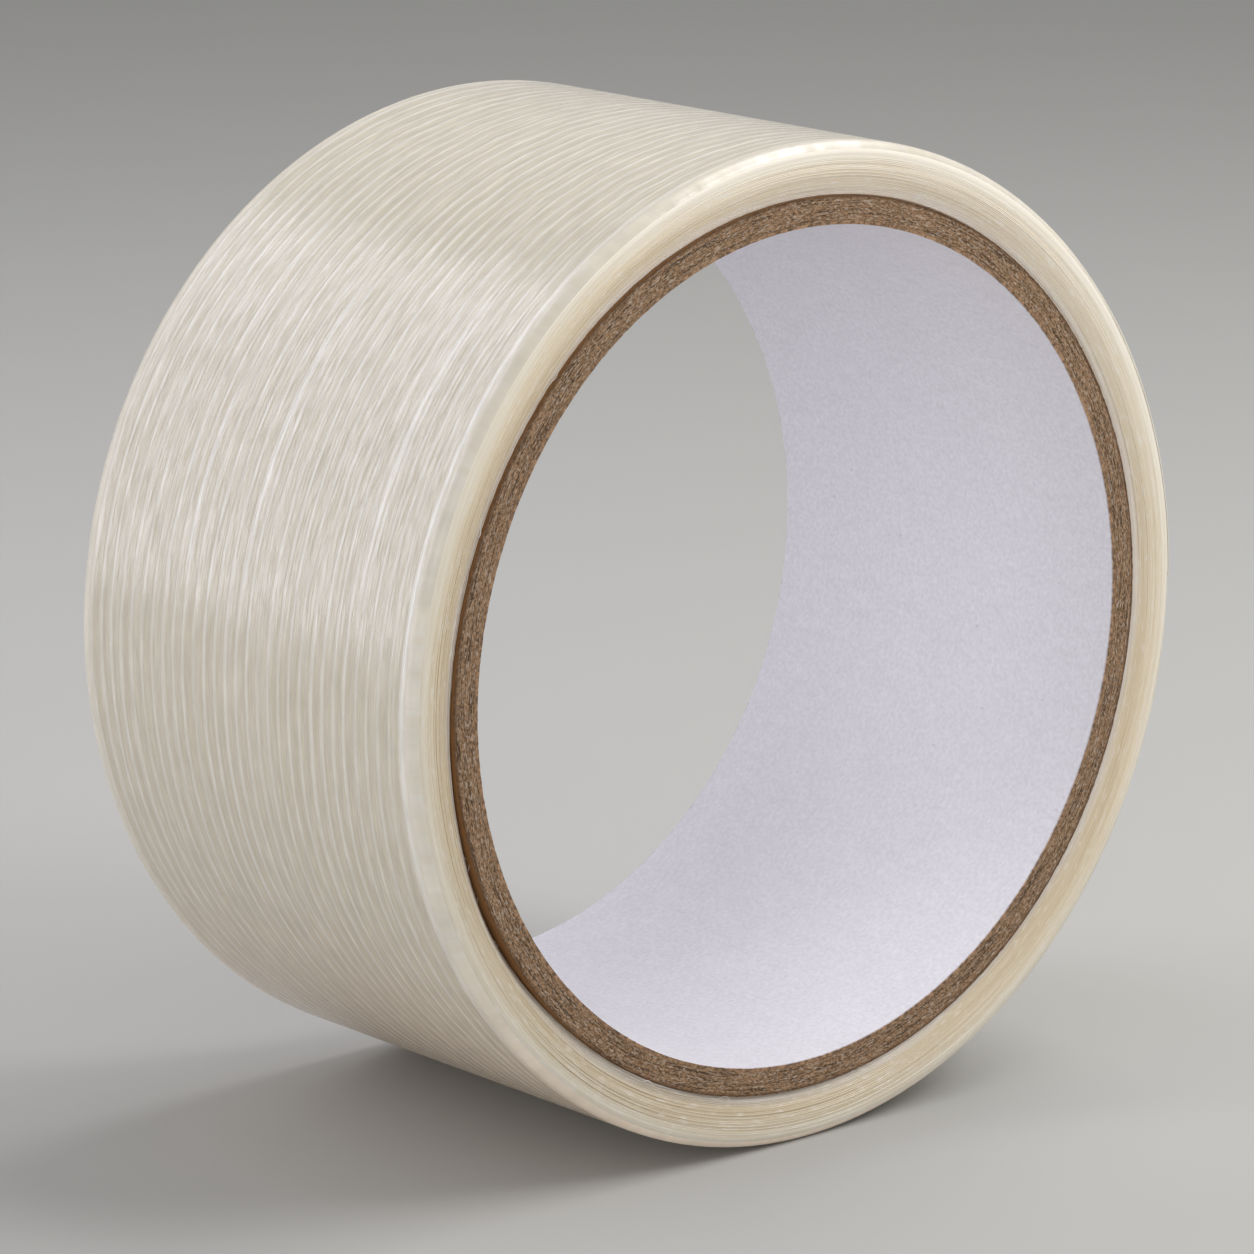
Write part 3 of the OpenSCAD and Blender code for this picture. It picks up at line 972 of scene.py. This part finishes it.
class TAPEROLL_OT_stray_filaments(bpy.types.Operator):
    """Make the torn filaments that stand off the first turns next to the core"""

    bl_idname = "taperoll.stray_filaments"
    bl_label = "Stray filaments"

    def execute(self, context):
        # Each filament is a thin tube along an arc that starts on the first turn, runs along the
        # core and bows inwards and forwards
        random = np.random.default_rng(STRAY_SEED)
        middles = np.radians(np.concatenate([STRAY_PLACED, random.uniform(0, 360, STRAY_COUNT)]))
        count = len(middles)
        behind = side_profile(middles, FRONT_SEED, FRONT_SAGS, FRONT_STANDS_OUT)[1][:, 2]
        share = np.linspace(0, 1, 9)
        length = random.uniform(0.8, 1.6, (count, 1)) * MM
        bow = random.uniform(0.15, 0.4, (count, 1)) * MM
        angle = middles[:, None] + length * share / CORE_R
        out = CORE_R + 0.3 * MM - bow * np.sin(share * np.pi)
        along = behind[:, None] - HALF_W - 0.03 * MM - bow * share
        thick = STRAY_R * (1 - 0.6 * share[:, None])
        side = np.linspace(0, 2 * np.pi, 6, endpoint=False)
        radius = out[..., None] + thick * np.cos(side)
        turn = np.broadcast_to(angle[..., None], radius.shape)
        depth = along[..., None] + thick * np.sin(side)
        points = np.stack([radius * np.cos(turn), depth, radius * np.sin(turn)], axis=-1)
        place = np.broadcast_to(share[:, None, None], points.shape)
        filaments = skin("stray_filaments", points, glass_yarn(), False, place)
        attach(filaments, "roll")
        return {"FINISHED"}


def area_light(name, place, width, height, power):
    """A rectangular lamp at a place, turned to face the roll's middle."""
    lamp = bpy.data.lights.new(name, "AREA")
    lamp.shape = "RECTANGLE"
    lamp.size = width
    lamp.size_y = height
    lamp.energy = power
    made = bpy.data.objects.new(name, lamp)
    turn = (-Vector(place)).to_track_quat("-Z", "Y").to_matrix().to_4x4()
    made.matrix_world = Matrix.Translation(place) @ turn
    bpy.context.scene.collection.objects.link(made)


def curved_softbox(strength):
    """A softbox bent round the roll: the patch of a sphere about the roll's middle that lies between
    two angles from the roll's axis and between two angles round it. It is brightest along its middle
    and fades towards its sides as a squared cosine. The film mirrors it as a band."""
    turns = np.linspace(*SOFTBOX_ROUND_AXIS, SOFTBOX_POINTS)
    share, round_axis = np.meshgrid(np.linspace(-1, 1, SOFTBOX_POINTS), np.radians(turns))
    from_axis = np.radians(SOFTBOX_FROM_AXIS + SOFTBOX_HALF_W * share)
    across = SOFTBOX_DISTANCE * np.sin(from_axis)
    depth = SOFTBOX_DISTANCE * np.cos(from_axis)
    points = np.stack([across * np.cos(round_axis), depth, across * np.sin(round_axis)], axis=-1)
    index = np.arange(share.size).reshape(share.shape)
    corners = [index[:-1, :-1], index[1:, :-1], index[1:, 1:], index[:-1, 1:]]
    quads = np.stack(corners, axis=-1).reshape(-1, 4)
    material, add = new_material("lit diffuser cloth")
    lit = add("Attribute", attribute_name="lit").outputs["Fac"]
    power = add("Math", {0: lit, 1: strength}, operation="MULTIPLY")
    glow = add("Emission", {"Color": rgba(linear("#F6F7FF")), "Strength": power})
    add("OutputMaterial", {"Surface": glow})
    mesh = bpy.data.meshes.new("softbox")
    mesh.from_pydata(points.reshape(-1, 3), [], quads)
    bright = mesh.attributes.new("lit", "FLOAT", "POINT")
    bright.data.foreach_set("value", np.cos(share * np.pi / 2).ravel().astype(np.float32) ** 2)
    mesh.materials.append(material)
    made = bpy.data.objects.new("softbox", mesh)
    made.visible_camera = False
    bpy.context.scene.collection.objects.link(made)
    return made


class TAPEROLL_OT_stage(bpy.types.Operator):
    """Make the floor, the lights and the camera"""

    bl_idname = "taperoll.stage"
    bl_label = "Stage"

    def execute(self, context):
        scene = context.scene
        stage = scene.tape_roll_stage
        corners = np.array([[-1, -1], [1, -1], [1, 1], [-1, 1]]) * FLOOR_HALF
        heights = np.full((4, 1), FLOOR_Z)
        mesh = bpy.data.meshes.new("floor")
        mesh.from_pydata(np.hstack([corners, heights]), [], [(0, 1, 2, 3)])
        mesh.materials.append(floor_paper())
        floor = bpy.data.objects.new("floor", mesh)
        scene.collection.objects.link(floor)

        world = bpy.data.worlds.new("studio")
        world.use_nodes = True
        background = world.node_tree.nodes["Background"].inputs
        background["Color"].default_value = rgba(linear("#FFFFFF"))
        background["Strength"].default_value = stage.daylight
        scene.world = world

        area_light("overhead", (0.3, -0.05, 0.5), 0.5, 0.4, stage.overhead)
        curved_softbox(stage.softbox)
        area_light("front", (0.17, -0.24, 0.24), 0.15, 0.15, stage.front)
        area_light("left", (-0.5, -0.3, 0.07), 0.4, 0.2, stage.left)

        turn = stage.azimuth
        rise = stage.elevation
        back = Vector((math.sin(turn) * math.cos(rise), -math.cos(turn) * math.cos(rise), math.sin(rise)))
        facing = (-back).to_track_quat("-Z", "Y")
        right = facing @ Vector((1, 0, 0))
        up = facing @ Vector((0, 1, 0))
        lens = bpy.data.cameras.new("camera")
        lens.lens = stage.lens
        lens.sensor_width = SENSOR_W
        lens.clip_start = 0.01
        camera = bpy.data.objects.new("camera", lens)
        eye = back * stage.distance - right * CAMERA_LEFT - up * CAMERA_BELOW
        camera.matrix_world = Matrix.Translation(eye) @ facing.to_matrix().to_4x4()
        scene.collection.objects.link(camera)
        scene.camera = camera
        scene.view_settings.view_transform = "Standard"
        return {"FINISHED"}


class TAPEROLL_PT_panel(bpy.types.Panel):
    """Lists the roll's pieces and the sizes and colours that shape them"""

    bl_idname = "TAPEROLL_PT_panel"
    bl_label = "Tape Roll"
    bl_space_type = "VIEW_3D"
    bl_region_type = "UI"
    bl_category = "Tape Roll"

    def draw(self, context):
        for operator in OPERATORS:
            self.layout.operator(operator.bl_idname)
        scene = context.scene
        for group in (scene.tape_roll_sizes, scene.tape_roll_colours, scene.tape_roll_stage):
            box = self.layout.box()
            for name in group.__annotations__:
                box.prop(group, name)


OPERATORS = (
    TAPEROLL_OT_core,
    TAPEROLL_OT_inner_turns,
    TAPEROLL_OT_outer_turn,
    TAPEROLL_OT_covered_stretch,
    TAPEROLL_OT_free_end,
    TAPEROLL_OT_stray_filaments,
    TAPEROLL_OT_stage,
)
CLASSES = (TapeRollSizes, TapeRollColours, TapeRollStage, *OPERATORS, TAPEROLL_PT_panel)


def register():
    for made in CLASSES:
        bpy.utils.register_class(made)
    bpy.types.Scene.tape_roll_sizes = bpy.props.PointerProperty(type=TapeRollSizes)
    bpy.types.Scene.tape_roll_colours = bpy.props.PointerProperty(type=TapeRollColours)
    bpy.types.Scene.tape_roll_stage = bpy.props.PointerProperty(type=TapeRollStage)


def unregister():
    del bpy.types.Scene.tape_roll_stage
    del bpy.types.Scene.tape_roll_colours
    del bpy.types.Scene.tape_roll_sizes
    for made in reversed(CLASSES):
        bpy.utils.unregister_class(made)


def main():
    register()
    bpy.ops.taperoll.core()
    bpy.ops.taperoll.inner_turns()
    bpy.ops.taperoll.outer_turn()
    bpy.ops.taperoll.covered_stretch()
    bpy.ops.taperoll.free_end()
    bpy.ops.taperoll.stray_filaments()
    bpy.ops.taperoll.stage()


if __name__ == "__main__":
    main()
